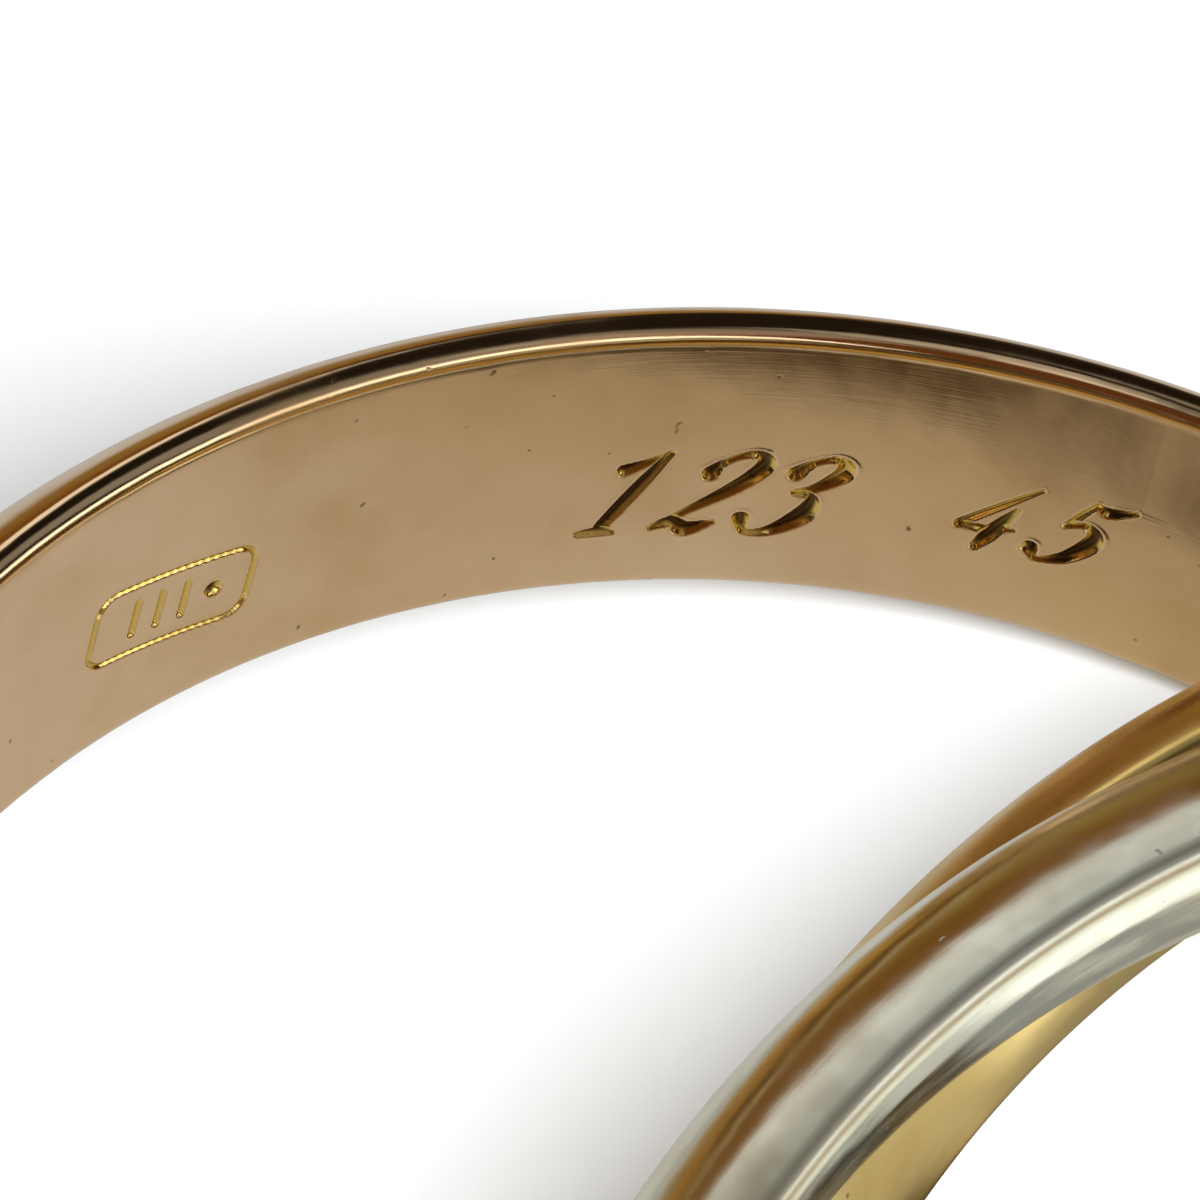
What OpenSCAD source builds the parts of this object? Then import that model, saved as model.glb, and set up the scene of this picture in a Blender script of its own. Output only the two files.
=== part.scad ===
// A rolling ring: three plain metal bands of one size, each linked once through the other two.
// It lies on a flat surface as it comes to rest by itself: the white and yellow bands nearly
// together on the right, and the rose band slid out to the left and leaning on them.
// Each band touches the surface at one point of its rim.
// Millimetres. Z is up, and the surface is z = 0, under the middle of the ring's outline.

/* [Band] */
// Inner diameter of each band
inner_d = 18.2; // [16:0.1:22]
// Width of a band along its own axis
band_w = 3.5; // [2.5:0.1:4.5]
// Thickness of a band at its crown
band_t = 1.25; // [1:0.05:1.6]
// Rounding of a band's edges
edge_r = 0.2; // [0.1:0.05:0.3]

/* [Rose band at rest] */
// Centre of the rose band, to the right
rose_x = -4.33; // [-8:0.01:8]
// Centre of the rose band, to the back
rose_y = -0.39; // [-8:0.01:8]
// Tilt of the rose band out of level
rose_tilt = 20.6; // [0:0.1:60]
// Direction that its axis leans to, round from +X
rose_lean = 89.7; // [0:0.1:360]

/* [White band at rest] */
// Centre of the white band, to the right
white_x = 4.54; // [-8:0.01:8]
// Centre of the white band, to the back
white_y = -0.50; // [-8:0.01:8]
// Tilt of the white band out of level
white_tilt = 13.7; // [0:0.1:60]
// Direction that its axis leans to, round from +X
white_lean = 341.1; // [0:0.1:360]

/* [Yellow band at rest] */
// Centre of the yellow band, to the right
yellow_x = 3.97; // [-8:0.01:8]
// Centre of the yellow band, to the back
yellow_y = 0.70; // [-8:0.01:8]
// Tilt of the yellow band out of level
yellow_tilt = 15.2; // [0:0.1:60]
// Direction that its axis leans to, round from +X
yellow_lean = 243.6; // [0:0.1:360]

/* [Hidden] */
$fn = 180;

rose_gold = [0.76, 0.56, 0.42];
white_gold = [0.74, 0.75, 0.70];
yellow_gold = [0.83, 0.63, 0.27];

inner_r = inner_d / 2;

// The section is flat inside and domed outside. An edge circle of edge_r sits at each corner of
// the flat, and the dome is the one arc that touches both circles and the crown.
edge_z = band_w / 2 - edge_r;
edge_x = inner_r + edge_r;
dome_back = (pow(edge_z, 2) + pow(edge_r, 2) - pow(band_t - edge_r, 2))
    / (2 * (band_t - 2 * edge_r));
dome_x = inner_r - dome_back;
dome_r = band_t + dome_back;
dome_angle = atan2(edge_z, edge_x - dome_x);

// Height of the centre of a tilted band that touches the surface with its lowest edge circle
function centre_height(tilt) = edge_r + edge_x * sin(tilt) + edge_z * cos(tilt);

// Slice of a disc about the dome's centre, as wide as the dome's arc
module dome_slice() {
    reach = 2 * dome_r;
    spread = reach * tan(dome_angle);
    intersection() {
        circle(r = dome_r);
        polygon([[0, 0], [reach, -spread], [reach, spread]]);
    }
}

// Section of a band, to the right of its own axis
module band_section() {
    translate([inner_r, -edge_z])
        square([edge_r, 2 * edge_z]);
    for (side = [-1, 1])
        translate([edge_x, side * edge_z])
            circle(r = edge_r);
    intersection() {
        translate([dome_x, 0])
            dome_slice();
        translate([edge_x, -band_w])
            square([2 * band_t, 2 * band_w]);
    }
}

// One whole band, set down at its place with its axis leaning to one side
module resting_band(x, y, tilt, lean) {
    translate([x, y, centre_height(tilt)])
        rotate([0, 0, lean])
            rotate([0, tilt, 0])
                rotate_extrude()
                    band_section();
}

module rose_band() {
    color(rose_gold)
        resting_band(rose_x, rose_y, rose_tilt, rose_lean);
}

module white_band() {
    color(white_gold)
        resting_band(white_x, white_y, white_tilt, white_lean);
}

module yellow_band() {
    color(yellow_gold)
        resting_band(yellow_x, yellow_y, yellow_tilt, yellow_lean);
}

rose_band();
white_band();
yellow_band();
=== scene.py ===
import math
import bmesh
import bpy
import numpy as np
from mathutils import Matrix, Quaternion, Vector, noise


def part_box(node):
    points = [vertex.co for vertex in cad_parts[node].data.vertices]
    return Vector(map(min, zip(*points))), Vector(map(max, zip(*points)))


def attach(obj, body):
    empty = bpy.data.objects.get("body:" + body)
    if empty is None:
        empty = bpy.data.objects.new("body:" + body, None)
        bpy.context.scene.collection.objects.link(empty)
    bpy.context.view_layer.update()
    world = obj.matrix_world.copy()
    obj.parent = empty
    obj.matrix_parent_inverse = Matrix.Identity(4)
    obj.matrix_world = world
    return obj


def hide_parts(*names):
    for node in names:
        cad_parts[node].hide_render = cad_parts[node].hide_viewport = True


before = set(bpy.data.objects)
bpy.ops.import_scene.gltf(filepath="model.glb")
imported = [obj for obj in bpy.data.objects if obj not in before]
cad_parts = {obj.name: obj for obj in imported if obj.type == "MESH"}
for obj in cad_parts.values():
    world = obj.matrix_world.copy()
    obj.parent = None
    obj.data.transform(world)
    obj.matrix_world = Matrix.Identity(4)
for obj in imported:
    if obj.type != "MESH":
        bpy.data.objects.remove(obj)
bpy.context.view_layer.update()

MM = 0.001
scene = bpy.context.scene


# Camera. A long macro lens held above the ring and a little in front of it, with the camera body turned
# on its side by a few degrees. It frames the far half of the rose band and the crossing of the others.
lens_eye = Vector((8.547, -11.615, 48.661)) * MM
floor_spot_in_middle = Vector((-11.893, 4.699, 0.0)) * MM
camera_roll = math.radians(-13.3)
picture_pixels, focal_pixels = 1200, 5520.0

camera_data = bpy.data.cameras.new("macro_lens")
camera_data.sensor_width = 36.0
camera_data.lens = camera_data.sensor_width * focal_pixels / picture_pixels
camera_data.clip_start, camera_data.clip_end = 2 * MM, 5.0
camera = bpy.data.objects.new("macro_camera", camera_data)
scene.collection.objects.link(camera)
camera.location = lens_eye
camera.rotation_mode = "QUATERNION"
upright = (floor_spot_in_middle - lens_eye).to_track_quat("-Z", "Y")
camera.rotation_quaternion = upright @ Quaternion((0.0, 0.0, 1.0), camera_roll)
scene.camera = camera


# Rose gold band. One solid band of 18 carat rose gold, turned with a flat inside, a domed back and eased
# edges, then polished. The inside carries plain slanted numbers cut with a graver, and a small stamped
# oblong. It is linked through the two other bands and turns freely.
inner_radius, band_width, band_thickness, edge_radius = 9.1, 3.5, 1.25, 0.2
roll_height, roll_curve = 0.75, 1.3
broad_waves, broad_wear = 0.55, 0.0022
small_waves, small_wear = 2.3, 0.0011
rim_blur, polish_lean = 0.08, 0.8

edge_x = inner_radius + edge_radius
edge_z = band_width / 2 - edge_radius
dome_back = ((edge_z**2 + edge_radius**2 - (band_thickness - edge_radius) ** 2)
             / (2 * (band_thickness - 2 * edge_radius)))
dome_x = inner_radius - dome_back
dome_angle = math.atan2(edge_z, edge_x - dome_x)


def lie_of(node):
    """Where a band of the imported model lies: a turn and a shift that carry a flat band onto it."""
    points = np.array([v.co[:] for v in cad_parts[node].data.vertices])
    lowest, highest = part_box(node)
    middle = (lowest + highest) / 2
    axis = Vector(np.linalg.svd(points - np.array(middle), full_matrices=False)[2][2])
    axis.normalize()
    if axis.z < 0:
        axis.negate()
    along_x = (Vector((1, 0, 0)) - axis * axis.x).normalized()
    turn = Matrix((along_x, axis.cross(along_x), axis)).transposed()
    return Matrix.Translation(middle) @ turn.to_4x4()


def turned_band(wall_runs, stretches, corner_steps=8, dome_steps=30):
    """A band about the Z axis, in mm. Its section is drawn by carrying a point round the upper corner, over
    the dome, round the lower corner and up the inside wall in runs of (height, steps). The section is then
    turned round the axis in stretches of (degrees, steps, sectors), where one sector is spun and copied."""
    line = bmesh.new()
    tip = [line.verts.new((inner_radius, 0, edge_z))]
    corner_sweep = math.pi - dome_angle
    moves = [(edge_x, edge_z, corner_sweep, 0, corner_steps), (dome_x, 0, 2 * dome_angle, 0, dome_steps),
             (edge_x, -edge_z, corner_sweep, 0, corner_steps)]
    moves += [(0, 0, 0, height, steps) for height, steps in wall_runs]
    for centre_x, centre_z, sweep, rise, steps in moves:
        carried = bmesh.ops.spin(line, geom=tip, cent=(centre_x, 0, centre_z), axis=(0, 1, 0), angle=sweep,
                                 dvec=(0, 0, rise / steps), steps=steps, use_merge=False)
        tip = carried["geom_last"]
    bmesh.ops.remove_doubles(line, verts=line.verts[:], dist=1e-4)
    section = bpy.data.meshes.new("band_section")
    line.to_mesh(section)
    line.free()
    band, begun = bmesh.new(), 0.0
    for degrees, steps, sectors in stretches:
        part = bmesh.new()
        part.from_mesh(section)
        bmesh.ops.rotate(part, verts=part.verts[:], cent=(0, 0, 0),
                         matrix=Matrix.Rotation(math.radians(begun), 3, "Z"))
        sector = math.radians(degrees) / sectors
        bmesh.ops.spin(part, geom=part.verts[:] + part.edges[:], cent=(0, 0, 0), axis=(0, 0, 1),
                       dvec=(0, 0, 0), angle=sector, steps=steps // sectors, use_merge=False)
        if sectors > 1:
            bmesh.ops.spin(part, geom=part.verts[:] + part.edges[:] + part.faces[:], cent=(0, 0, 0),
                           axis=(0, 0, 1), dvec=(0, 0, 0), angle=sector * (sectors - 1), steps=sectors - 1,
                           use_duplicate=True)
        stretch = bpy.data.meshes.new("band_stretch")
        part.to_mesh(stretch)
        part.free()
        band.from_mesh(stretch)
        begun += degrees
    bmesh.ops.remove_doubles(band, verts=band.verts[:], dist=1e-4)
    bmesh.ops.recalc_face_normals(band, faces=band.faces[:])
    for face in band.faces:
        face.smooth = True
    return band


def handled(point, seed):
    """How far, in mm, years of wear and hand polishing have left a point of the band low, as a minus."""
    broad = noise.noise(Vector(point) * broad_waves + Vector((seed, 0, 0)))
    small = noise.noise(Vector(point) * small_waves + Vector((0, seed, 0)))
    return broad_wear * (broad - 1) + small_wear * (small - 1)


def finished_band(name, node, made, seed, roll_depth, cuts=None):
    """The band's mesh object, worn, cut where it is engraved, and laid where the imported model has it. The
    inside wall may roll over a little, outward, before it meets its two edges."""
    mesh = bpy.data.meshes.new(name)
    made.to_mesh(mesh)
    made.free()
    points = np.empty(len(mesh.vertices) * 3)
    mesh.vertices.foreach_get("co", points)
    points = points.reshape(-1, 3)
    radius = np.hypot(points[:, 0], points[:, 1])
    outward = points[:, :2] / radius[:, None]
    depth = cuts(points, radius) if cuts else np.zeros(len(points))
    above = np.abs(points[:, 2]) - edge_z
    rolled = np.clip(above / roll_height + 1, 0, 1) ** roll_curve
    inside = np.clip((edge_x - radius) / edge_radius, 0, 1)
    wear = np.array([handled(p, seed) for p in points])
    normals = np.empty(len(mesh.vertices) * 3)
    mesh.vertices.foreach_get("normal", normals)
    worn = points + normals.reshape(-1, 3) * wear[:, None]
    worn[:, :2] += outward * (depth + roll_depth * rolled * inside)[:, None]
    mesh.vertices.foreach_set("co", (worn * MM).ravel())
    engraved = mesh.attributes.new("engraved", "FLOAT", "POINT")
    engraved.data.foreach_set("value", depth)
    height = points[:, 2] + polish_lean * (radius - inner_radius)
    run = np.stack([outward[:, 0], outward[:, 1], height], -1)
    polish = mesh.attributes.new("round_the_band", "FLOAT_VECTOR", "POINT")
    polish.data.foreach_set("vector", run.ravel())
    rim = mesh.attributes.new("rim", "FLOAT", "POINT")
    rim.data.foreach_set("value", np.clip(above / rim_blur + 0.5, 0, 1))
    mesh.transform(lie_of(node))
    piece = bpy.data.objects.new(name, mesh)
    scene.collection.objects.link(piece)
    return piece


class Wire:
    """A shader socket that is added, multiplied and so on in Python, each sign adding its Math node."""

    def __init__(self, tree, socket=None):
        self.tree, self.socket = tree, socket

    def node(self, kind, settings, sockets, output=0):
        """A new node with its settings, its inputs set or linked, and the wire from one of its outputs."""
        made = self.tree.nodes.new(kind)
        for key, value in settings.items():
            setattr(made, key, value)
        for key, value in sockets.items():
            if isinstance(value, Wire):
                self.tree.links.new(value.socket, made.inputs[key])
            else:
                made.inputs[key].default_value = value
        return Wire(self.tree, made.outputs[output] if made.outputs else None)

    def maths(self, operation, first, second):
        return self.node("ShaderNodeMath", {"operation": operation}, {0: first, 1: second})

    def __add__(self, other):
        return self.maths("ADD", self, other)

    __radd__ = __add__

    def __sub__(self, other):
        return self.maths("SUBTRACT", self, other)

    def __rsub__(self, other):
        return self.maths("SUBTRACT", other, self)

    def __mul__(self, other):
        return self.maths("MULTIPLY", self, other)

    __rmul__ = __mul__

    def blend(self, first, second):
        """A colour between two colours, this wire saying how far."""
        return self.node("ShaderNodeMix", {"data_type": "RGBA"}, {0: self, 6: first, 7: second}, 2)

    def fade(self, low, high, to_low=0.0, to_high=1.0):
        """This wire carried from one range to another, smoothly, and held at its ends."""
        return self.node("ShaderNodeMapRange", {"interpolation_type": "SMOOTHSTEP"},
                         {"Value": self, "From Min": low, "From Max": high,
                          "To Min": to_low, "To Max": to_high})


def polished_gold(name, colour, tarnish, groove, roughness, worn_edge, patchy, scratch_depth, dents, seed):
    """Old polished gold: fine lines round the band from the polishing mop, faint smudges and tarnish, small
    pits, soft dents, most of all along the edges, and dark dirt left in what is engraved."""
    material = bpy.data.materials.new(name)
    material.use_nodes = True
    tree = material.node_tree
    tree.nodes.clear()
    start = Wire(tree)
    place = start.node("ShaderNodeTexCoord", {}, {}, "Object")
    run = start.node("ShaderNodeAttribute", {"attribute_name": "round_the_band"}, {}, "Vector")
    depth = start.node("ShaderNodeAttribute", {"attribute_name": "engraved"}, {}, "Fac")

    def mottle(vector, scale, detail, stretch=(1, 1, 1), shift=0.0):
        """Noise, its scale in waves to the metre or, along the run of the polish, set by the stretch."""
        laid = start.node("ShaderNodeMapping", {},
                          {"Vector": vector, "Scale": stretch, "Location": (seed + shift, shift, seed)})
        return start.node("ShaderNodeTexNoise", {}, {"Vector": laid, "Scale": scale, "Detail": detail})

    cloud = mottle(place, 260.0, 3.0)
    smudge = mottle(place, 620.0, 3.0, shift=3.1).fade(0.50, 0.72)
    lines = mottle(run, 1.0, 1.0, (9.0, 9.0, 60.0))
    fine = mottle(run, 1.0, 0.0, (14.0, 14.0, 160.0), 5.0)
    pits = mottle(place, 5200.0, 1.0, shift=1.7).fade(0.76, 0.82)
    grain = mottle(place, 9000.0, 0.0, shift=8.3)
    edge = start.node("ShaderNodeAttribute", {"attribute_name": "rim"}, {}, "Fac")
    nicks = mottle(place, 2700.0, 1.0, shift=4.4)
    hollows = mottle(place, 1900.0, 1.0, shift=6.6)
    patches = mottle(place, 2100.0, 2.0, shift=9.2).fade(0.42, 0.62)

    cut = depth.fade(0.003, 0.018)
    dirt = depth.fade(0.030, 0.060) * cloud.fade(0.36, 0.52)
    dark_dirt = (0.09, 0.045, 0.015, 1)
    tone = cloud.fade(0.35, 0.75, 0.0, 0.55) + smudge * 0.25 + patches * patchy
    skin = tone.blend(colour + (1,), tarnish + (1,))
    base = (dirt + pits * 0.7).blend(cut.blend(skin, groove + (1,)), dark_dirt)
    rough = (roughness + cloud.fade(0.35, 0.7, 0.0, 0.05) + smudge * 0.09 + pits * 0.2 + dirt * 0.25
             + edge * worn_edge + patches * (patchy * 0.2))
    relief = lines * 0.12 + fine * 0.05 + grain * 0.10 - pits * 0.8 + nicks * edge * 1.6 + hollows * dents
    bump = start.node("ShaderNodeBump", {},
                      {"Height": relief, "Strength": 1.0, "Distance": scratch_depth * MM})
    shader = start.node("ShaderNodeBsdfPrincipled", {},
                        {"Base Color": base, "Metallic": 1.0, "Roughness": rough, "Normal": bump})
    start.node("ShaderNodeOutputMaterial", {}, {"Surface": shader})
    return material


# Numbers are cut as strokes, each a row of points (x, y, half width) along its middle, in units of the
# number's height.
script_one = [[(-0.02, 0.80, 0.055), (0.12, 0.88, 0.035), (0.27, 1.00, 0.020)],
              [(0.27, 1.00, 0.030), (0.27, 0.55, 0.055), (0.27, 0.10, 0.050), (0.27, 0.00, 0.030)],
              [(0.10, 0.00, 0.030), (0.27, 0.02, 0.040), (0.44, 0.00, 0.022)]]
script_two = [[(0.06, 0.74, 0.065), (0.10, 0.90, 0.030), (0.28, 1.00, 0.035), (0.48, 0.86, 0.070),
               (0.42, 0.58, 0.060), (0.18, 0.24, 0.030), (0.00, 0.03, 0.022)],
              [(0.00, 0.03, 0.022), (0.14, 0.11, 0.050), (0.34, 0.02, 0.065), (0.54, 0.11, 0.022)]]
script_three = [[(0.06, 0.78, 0.065), (0.12, 0.94, 0.030), (0.30, 1.00, 0.035), (0.46, 0.84, 0.070),
                 (0.36, 0.62, 0.040), (0.20, 0.54, 0.022)],
                [(0.20, 0.54, 0.022), (0.42, 0.48, 0.040), (0.50, 0.26, 0.080), (0.36, 0.03, 0.045),
                 (0.14, 0.00, 0.028), (0.00, 0.16, 0.065)]]
script_four = [[(0.44, 1.00, 0.020), (0.20, 0.62, 0.035), (0.00, 0.30, 0.045)],
               [(0.00, 0.30, 0.030), (0.28, 0.29, 0.040), (0.58, 0.34, 0.020)],
               [(0.42, 0.62, 0.035), (0.40, 0.28, 0.070), (0.38, 0.00, 0.040)]]
script_five = [[(0.17, 0.97, 0.025), (0.34, 0.90, 0.055), (0.58, 1.00, 0.022)],
               [(0.17, 0.97, 0.025), (0.13, 0.76, 0.032), (0.10, 0.57, 0.030)],
               [(0.10, 0.57, 0.022), (0.30, 0.63, 0.035), (0.50, 0.42, 0.080), (0.40, 0.10, 0.055),
                (0.16, 0.00, 0.028), (0.00, 0.14, 0.070)]]
lean, swell = 0.59, 1.4
number_groups = [
    dict(numbers=[script_one, script_two, script_three], along=-22.86, up=-0.93, height=1.06, pitch=0.80,
         turn=0.0),
    dict(numbers=[script_four, script_five], along=-19.22, up=-0.74, height=0.90, pitch=0.80, turn=4.0)]

# The stamped oblong with its bars and its dot, in mm along the wall and up it.
oblong = dict(along=-27.15, up=-0.24, length=1.90, height=0.86, corner=0.22, turn=-10.0, half_width=0.040)
bar_places, bar_half_height, bar_half_width = (-0.42, -0.12, 0.18), 0.20, 0.045
dot_place, dot_length, dot_half_width = 0.52, 0.01, 0.10

# A cut's depth and steepness, how round its bottom is, and the burr beside it, its place and width in half
# widths of the stroke.
cut_depth, cut_slope, cut_curve = 0.080, 1.1, 0.8
burr_height, burr_place, burr_width = 0.004, 1.25, 0.22


def smooth_stroke(points, steps=9):
    """The points of a stroke with even curves put through them."""
    points = np.array(points, float)
    ends = np.vstack([2 * points[0] - points[1], points, 2 * points[-1] - points[-2]])
    out = []
    for a, b, c, d in zip(ends, ends[1:], ends[2:], ends[3:]):
        for t in np.linspace(0, 1, steps, endpoint=False):
            out.append(0.5 * (2 * b + (c - a) * t + (2 * a - 5 * b + 4 * c - d) * t**2
                              + (3 * b - a - 3 * c + d) * t**3))
    return np.array(out + [points[-1]])


def turned(points, degrees, along, up):
    """The points of a line turned and moved to their place on the inside wall, in mm along it and up."""
    angle = math.radians(degrees)
    x = points[:, 0] * math.cos(angle) - points[:, 1] * math.sin(angle) + along
    y = points[:, 0] * math.sin(angle) + points[:, 1] * math.cos(angle) + up
    return np.stack([x, y, points[:, 2]], -1)


strokes = []
for group in number_groups:
    for order, number in enumerate(group["numbers"]):
        for stroke in number:
            line = smooth_stroke(stroke)
            line[:, 0] += lean * line[:, 1]
            line *= group["height"]
            line[:, 2] *= swell
            line[:, 0] += order * group["pitch"]
            strokes.append(turned(line, group["turn"], group["along"], group["up"]))
straight_length = oblong["length"] / 2 - oblong["corner"]
straight_height = oblong["height"] / 2 - oblong["corner"]
outline = [(sx * straight_length + oblong["corner"] * math.cos(math.radians(a)),
            sy * straight_height + oblong["corner"] * math.sin(math.radians(a)), oblong["half_width"])
           for sx, sy, first in ((1, 1, 0), (-1, 1, 90), (-1, -1, 180), (1, -1, 270))
           for a in range(first, first + 91, 18)]
oblong_lines = [outline + outline[:1]]
for bar in bar_places:
    oblong_lines.append([(bar, -bar_half_height, bar_half_width), (bar, bar_half_height, bar_half_width)])
oblong_lines.append([(dot_place, 0.0, dot_half_width), (dot_place + dot_length, 0.0, dot_half_width)])
for line in oblong_lines:
    strokes.append(turned(np.array(line, float), oblong["turn"], oblong["along"], oblong["up"]))


def engraving(points, radius):
    """How deep, in mm, each point of the inside is cut, from its distance to the strokes."""
    depth = np.zeros(len(points))
    along = -np.arctan2(points[:, 1], points[:, 0]) * inner_radius
    for line in strokes:
        reach = line[:, 2].max() * 2 + 0.05
        low, high = line[:, :2].min(0) - reach, line[:, :2].max(0) + reach
        near = np.flatnonzero((radius < inner_radius + 0.01) & (along > low[0]) & (along < high[0])
                              & (points[:, 2] > low[1]) & (points[:, 2] < high[1]))
        spot = np.stack([along[near], points[near, 2]], -1)
        best = np.full(len(near), np.inf)
        wide = np.zeros(len(near))
        for a, b in zip(line, line[1:]):
            step = b[:2] - a[:2]
            t = np.clip((spot - a[:2]) @ step / max(step @ step, 1e-9), 0, 1)
            away = np.hypot(*(spot - a[:2] - t[:, None] * step).T)
            width = a[2] + (b[2] - a[2]) * t
            closer = away / width < best
            best[closer], wide[closer] = (away / width)[closer], width[closer]
        groove = np.clip(1 - best, 0, 1) ** cut_curve * np.minimum(cut_depth, wide * cut_slope)
        lip = burr_height * np.exp(-((best - burr_place) / burr_width) ** 2)
        depth[near] = np.maximum(depth[near], groove)
        depth[near] -= np.where(depth[near] > 0, 0, lip)
    return depth


# The steps are close only where the band is engraved.
rose_wall = [(0.49, 7), (1.52, 89), (0.59, 3), (0.50, 7)]
rose_stretches = [(109.5, 60, 4), (13.0, 126, 6), (2.6, 2, 1), (20.4, 198, 9), (18.0, 10, 1), (15.0, 147, 7),
                  (181.5, 100, 5)]
rose_turned = turned_band(rose_wall, rose_stretches, dome_steps=24)
rose_band = finished_band("rose_gold_band", "rose_band", rose_turned, seed=11, roll_depth=0.0,
                          cuts=engraving)
rose_band.data.materials.append(polished_gold(
    "rose_gold", colour=(0.87, 0.635, 0.385), tarnish=(0.70, 0.46, 0.22), groove=(0.80, 0.57, 0.15),
    roughness=0.11, worn_edge=0.0, patchy=0.08, scratch_depth=0.0022, dents=0.5, seed=2.0))
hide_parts("rose_band")
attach(rose_band, "rose_band")


# White gold band. The same band in 18 carat white gold with its grey, faintly green colour, turned and
# polished in the same way but not engraved. It is linked through the other two, and its inside wall has worn
# most at the edges.
plain_wall = [(roll_height, 7), (2 * (edge_z - roll_height), 6), (roll_height, 7)]
plain_round = [(360.0, 640, 16)]
white_band = finished_band("white_gold_band", "white_band", turned_band(plain_wall, plain_round),
                           seed=23, roll_depth=0.055)
white_band.data.materials.append(polished_gold(
    "white_gold", colour=(0.85, 0.87, 0.735), tarnish=(0.72, 0.66, 0.47), groove=(0.28, 0.28, 0.2),
    roughness=0.11, worn_edge=0.28, patchy=0.18, scratch_depth=0.0026, dents=3.0, seed=5.0))
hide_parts("white_band")
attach(white_band, "white_band")


# Yellow gold band. The same plain band in 18 carat yellow gold, linked through the other two and turning
# freely. Most of it lies behind the white band from the camera.
yellow_band = finished_band("yellow_gold_band", "yellow_band", turned_band(plain_wall, plain_round),
                            seed=37, roll_depth=0.030)
yellow_band.data.materials.append(polished_gold(
    "yellow_gold", colour=(0.92, 0.70, 0.27), tarnish=(0.74, 0.50, 0.14), groove=(0.28, 0.17, 0.05),
    roughness=0.15, worn_edge=0.05, patchy=0.15, scratch_depth=0.0024, dents=1.5, seed=8.0))
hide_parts("yellow_band")
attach(yellow_band, "yellow_band")


# Floor and light. A sheet of white card with a straight edge lies on a brown table under the ring, under one
# soft lamp. The gold reflects card and table, which glow for it as painted light and carry painted shade and
# painted light, most of all between and under the bands, and a dim room of soft boxes. For the lens alone
# all of the ground is taken up to white by a glow that grows away from the ring, as is done with such a
# picture.
table_radius = 85.0
ground_round = bmesh.new()
bmesh.ops.create_circle(ground_round, cap_ends=True, radius=table_radius * MM, segments=96)
ground_mesh = bpy.data.meshes.new("card_on_table")
ground_round.to_mesh(ground_mesh)
ground_round.free()
ground_sheet = bpy.data.objects.new("card_on_table", ground_mesh)
scene.collection.objects.link(ground_sheet)
ground_look = bpy.data.materials.new("card_on_table")
ground_look.use_nodes = True
ground_look.node_tree.nodes.clear()
paper = Wire(ground_look.node_tree)
to_lens = paper.node("ShaderNodeLightPath", {}, {}, "Is Camera Ray")
spot = paper.node("ShaderNodeTexCoord", {}, {}, "Object")


def outside(centre, half_sizes, turn, low, high):
    """0 within an oval on the ground and 1 outside it, its place and size in mm and its turn in degrees."""
    laid = paper.node("ShaderNodeMapping", {"vector_type": "TEXTURE"},
                      {"Vector": spot, "Location": (centre[0] * MM, centre[1] * MM, 0),
                       "Rotation": (0, 0, math.radians(turn)),
                       "Scale": (half_sizes[0] * MM, half_sizes[1] * MM, 1)})
    return paper.node("ShaderNodeVectorMath", {"operation": "LENGTH"}, {0: laid}, 1).fade(low, high)


def beyond(way, low, high):
    """0 this side of a straight edge across the ground and 1 beyond it, in mm along a direction."""
    along = paper.node("ShaderNodeVectorMath", {"operation": "DOT_PRODUCT"}, {0: spot, 1: way}, 1)
    return along.fade(low * MM, high * MM)


# The table is browner and darker away from the ring, and beyond a line through the middle it is painted near
# black, a painted shade.
near_brown, far_brown = (0.24, 0.145, 0.035, 1), (0.19, 0.078, 0.008, 1)
table = outside((0, 0), (1, 1), 0, 25, 50).blend(near_brown, far_brown)
table = beyond((0.68, 0.73, 0), -1.5, 1.5).blend(table, (0.025, 0.015, 0.008, 1))
# The card for the gold is painted darker over the left and middle, grey and then warm, a painted shade, and
# bright at the right.
grey_painted_shade, warm_painted_shade, white_card = (0.49, 0.475, 0.45, 1), (0.52, 0.475, 0.38, 1), (0.85, 0.85, 0.85, 1)
painted_card = beyond((1, 0, 0), -9.0, -6.8).blend(grey_painted_shade, warm_painted_shade)
painted_card = beyond((1, 0, 0), -2.5, 1.5).blend(painted_card, white_card)
painted_card = beyond((-0.447, 0.894, 0), 14.0, 17.5).blend(painted_card, table)

# Painted shade and painted light on the card, seen by the gold and not by the lens: ovals of painted shade
# within the bands and under the rose one, a painted lit disc within the bands, half lit on one side, and a
# painted black spot of shade.
painted_dull_shade, painted_half_light, painted_light = (0.21, 0.21, 0.19, 1), (0.45, 0.45, 0.41, 1), (1.0, 1.0, 0.92, 1)
painted_brown_shade, painted_black_shade = (0.035, 0.018, 0.0, 1), (0.02, 0.02, 0.02, 1)
painted_card = outside((-4.45, 3.4), (2.4, 0.9), 59, 0.7, 1.1).blend(painted_dull_shade, painted_card)
between = beyond((0.5, 0.86, 0), 0.4, 1.2).blend(painted_half_light, painted_light)
painted_card = outside((0.7, 0.6), (5.0, 5.0), 0, 0.97, 1.03).blend(between, painted_card)
painted_shade_under_rose = (1 - outside((-5.3, 1.3), (1.35, 2.2), 20, 0.85, 1.1)) * beyond((0.978, 0.21, 0), -5.95, -5.35)
painted_card = painted_shade_under_rose.blend(painted_card, painted_brown_shade)
painted_card = outside((-4.8, 1.4), (0.6, 0.5), 0, 0.6, 1.1).blend(painted_black_shade, painted_card)


def dimmed(colour, part):
    """The colour times a number."""
    return paper.node("ShaderNodeMix", {"data_type": "RGBA", "blend_type": "MULTIPLY"},
                      {0: 1.0, 6: colour, 7: (part, part, part, 1)}, 2)


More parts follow.
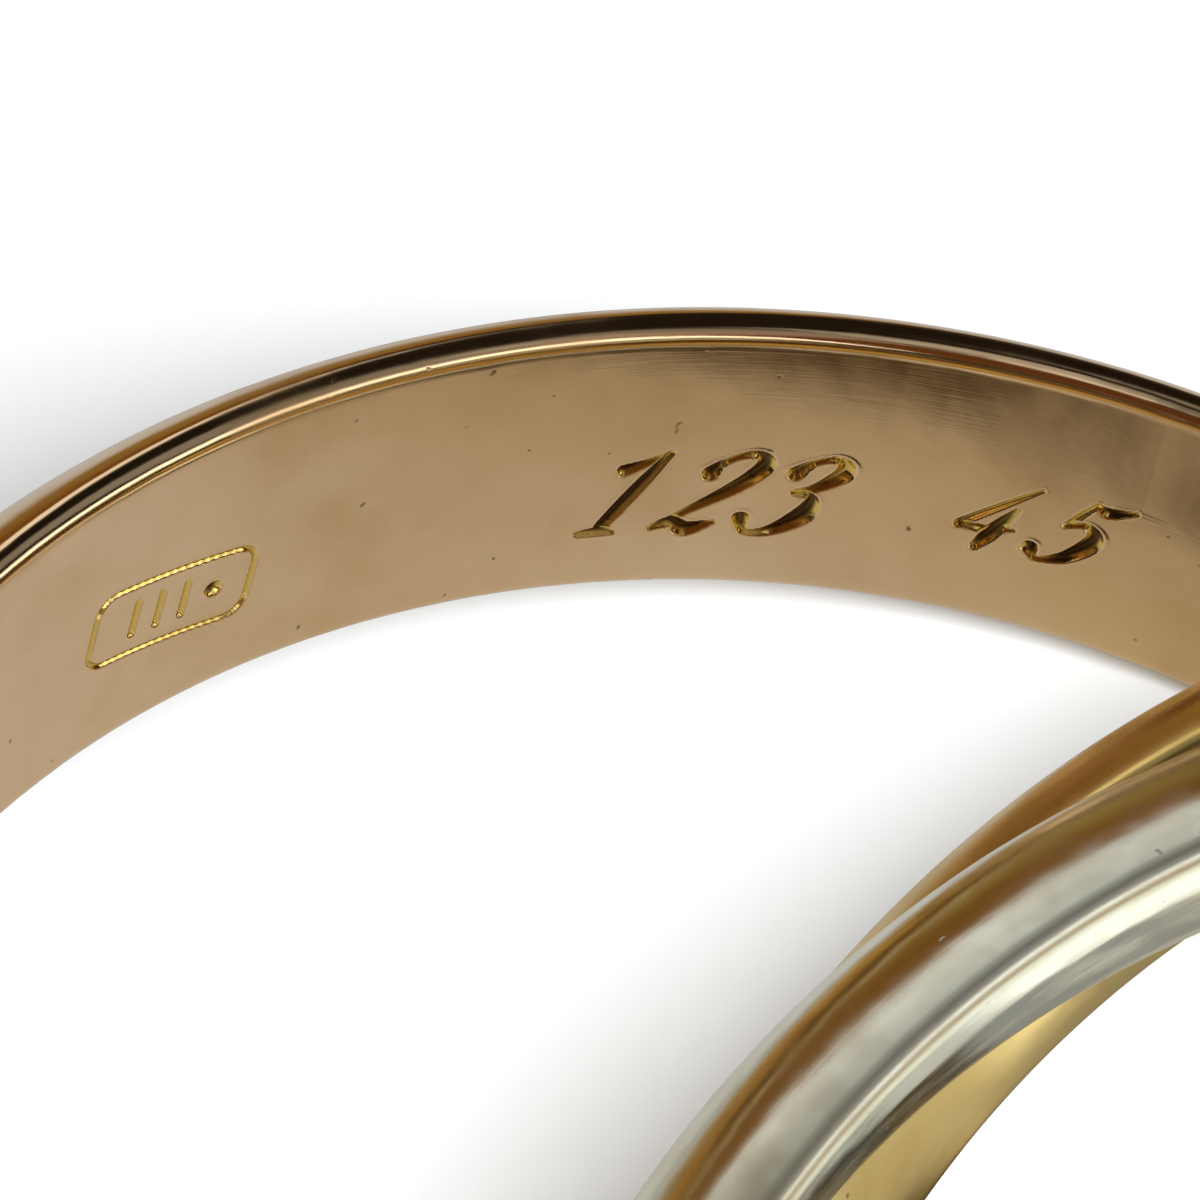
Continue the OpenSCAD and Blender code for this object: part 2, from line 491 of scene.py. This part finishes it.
lift_near, lift_far, lens_card = (0.06, 0.06, 0.06, 1), (0.95, 0.95, 0.95, 1), (0.91, 0.95, 0.98, 1)
lifted = outside((0, 0), (1, 1), 0, 22, 65).blend(lift_near, lift_far)
matt = {"Roughness": 0.9, "Specular IOR Level": 0.1, "Emission Strength": 1.0}
# For the gold the card glows with three quarters of its painted colour, a painted light, and takes a little
# more from the lamp.
in_the_gold = paper.node("ShaderNodeBsdfPrincipled", {}, {
    **matt, "Base Color": dimmed(painted_card, 0.28), "Emission Color": dimmed(painted_card, 0.75)})
in_the_lens = paper.node("ShaderNodeBsdfPrincipled", {}, {
    **matt, "Base Color": lens_card, "Emission Color": lifted})
paper_face = paper.node("ShaderNodeMixShader", {}, {0: to_lens, 1: in_the_gold, 2: in_the_lens})
paper.node("ShaderNodeOutputMaterial", {}, {"Surface": paper_face})
ground_mesh.materials.append(ground_look)

lamp_place, lamp_side, lamp_radiance = Vector((17, 0, 44)), 30, 16.5
lamp_data = bpy.data.lights.new("lamp", "AREA")
lamp_data.size = lamp_side * MM
lamp_data.energy = lamp_radiance * math.pi * lamp_data.size**2
lamp = bpy.data.objects.new("lamp", lamp_data)
scene.collection.objects.link(lamp)
lamp.location = lamp_place * MM
lamp.rotation_mode = "QUATERNION"
lamp.rotation_quaternion = (-lamp_place).to_track_quat("-Z", "Y")
lamp.visible_camera = lamp.visible_glossy = False

world = bpy.data.worlds.new("dim_room")
scene.world = world
world.use_nodes = True
world.node_tree.nodes.clear()
air = Wire(world.node_tree)
direction = air.node("ShaderNodeTexCoord", {}, {}, "Generated")


def soft_box(glow, azimuth, elevation, half_wide, half_high, edge, radiance, colour=(1, 1, 1), roll=0.0):
    """The room's glow with one more soft box in it, its place and size in degrees as seen from the ring."""
    a, e = math.radians(azimuth), math.radians(elevation)
    ahead = Vector((math.cos(a) * math.cos(e), math.sin(a) * math.cos(e), math.sin(e)))
    side = Matrix.Rotation(math.radians(roll), 3, ahead) @ Vector((-math.sin(a), math.cos(a), 0))

    def along(way):
        return air.node("ShaderNodeVectorMath", {"operation": "DOT_PRODUCT"}, {0: direction, 1: way}, 1)

    def within(way, half):
        off = air.maths("ARCTAN2", along(way), along(ahead))
        return air.maths("ABSOLUTE", off, 0.0).fade(math.radians(half + edge), math.radians(half))

    box = within(side, half_wide) * within(ahead.cross(side), half_high)
    shine = box.blend((0, 0, 0, 1), tuple(radiance * c for c in colour) + (1,))
    return air.node("ShaderNodeVectorMath", {"operation": "ADD"}, {0: glow, 1: shine}, 0)


# Azimuth, elevation, half width, half height and soft edge in degrees, then radiance, and for some also
# colour and roll.
brown_wall, brown_ceiling, white = (0.16, 0.062, 0.006), (0.10, 0.035, 0.008), (1, 1, 1)
soft_boxes = [(161, 2, 24, 6, 4, 1.0, brown_wall), (133, 15, 6, 6, 4, 0.15),
              (153, 22, 20, 9, 8, 0.8), (153, 50, 20, 22, 8, 0.3),
              (10, 75, 8, 7, 5, 0.26), (-45, 68, 5, 5, 3, 0.5),
              (-30, 77, 10, 10, 8, 0.18), (4, 19, 44, 5.5, 4, 1.9, white, -14.5),
              (30, 37, 50, 8, 8, 0.24), (-6, 3, 14, 9, 6, 0.7),
              (2, 52, 14, 7, 6, 0.2), (-62, 15, 14, 8, 8, 0.25),
              (-50, 32, 35, 26, 12, 1.0, brown_ceiling)]
glow = (0.012, 0.009, 0.006)
for placed in soft_boxes:
    glow = soft_box(glow, *placed)
room = air.node("ShaderNodeBackground", {}, {"Color": glow})

# The matt card needs only the room's mean light, and the lens sees a white backdrop.
on_card = air.node("ShaderNodeLightPath", {}, {}, "Is Diffuse Ray")
mean_room = air.node("ShaderNodeBackground", {}, {"Color": (0.22, 0.20, 0.18, 1)})
unseen = air.node("ShaderNodeMixShader", {}, {0: on_card, 1: room, 2: mean_room})
seen = air.node("ShaderNodeLightPath", {}, {}, "Is Camera Ray")
backdrop = air.node("ShaderNodeBackground", {}, {"Color": (1, 1, 1, 1)})
far = air.node("ShaderNodeMixShader", {}, {0: seen, 1: unseen, 2: backdrop})
air.node("ShaderNodeOutputWorld", {}, {"Surface": far})
world.cycles.sampling_method = "NONE"
scene.view_settings.view_transform = "Standard"
scene.cycles.max_bounces, scene.cycles.diffuse_bounces = 4, 1
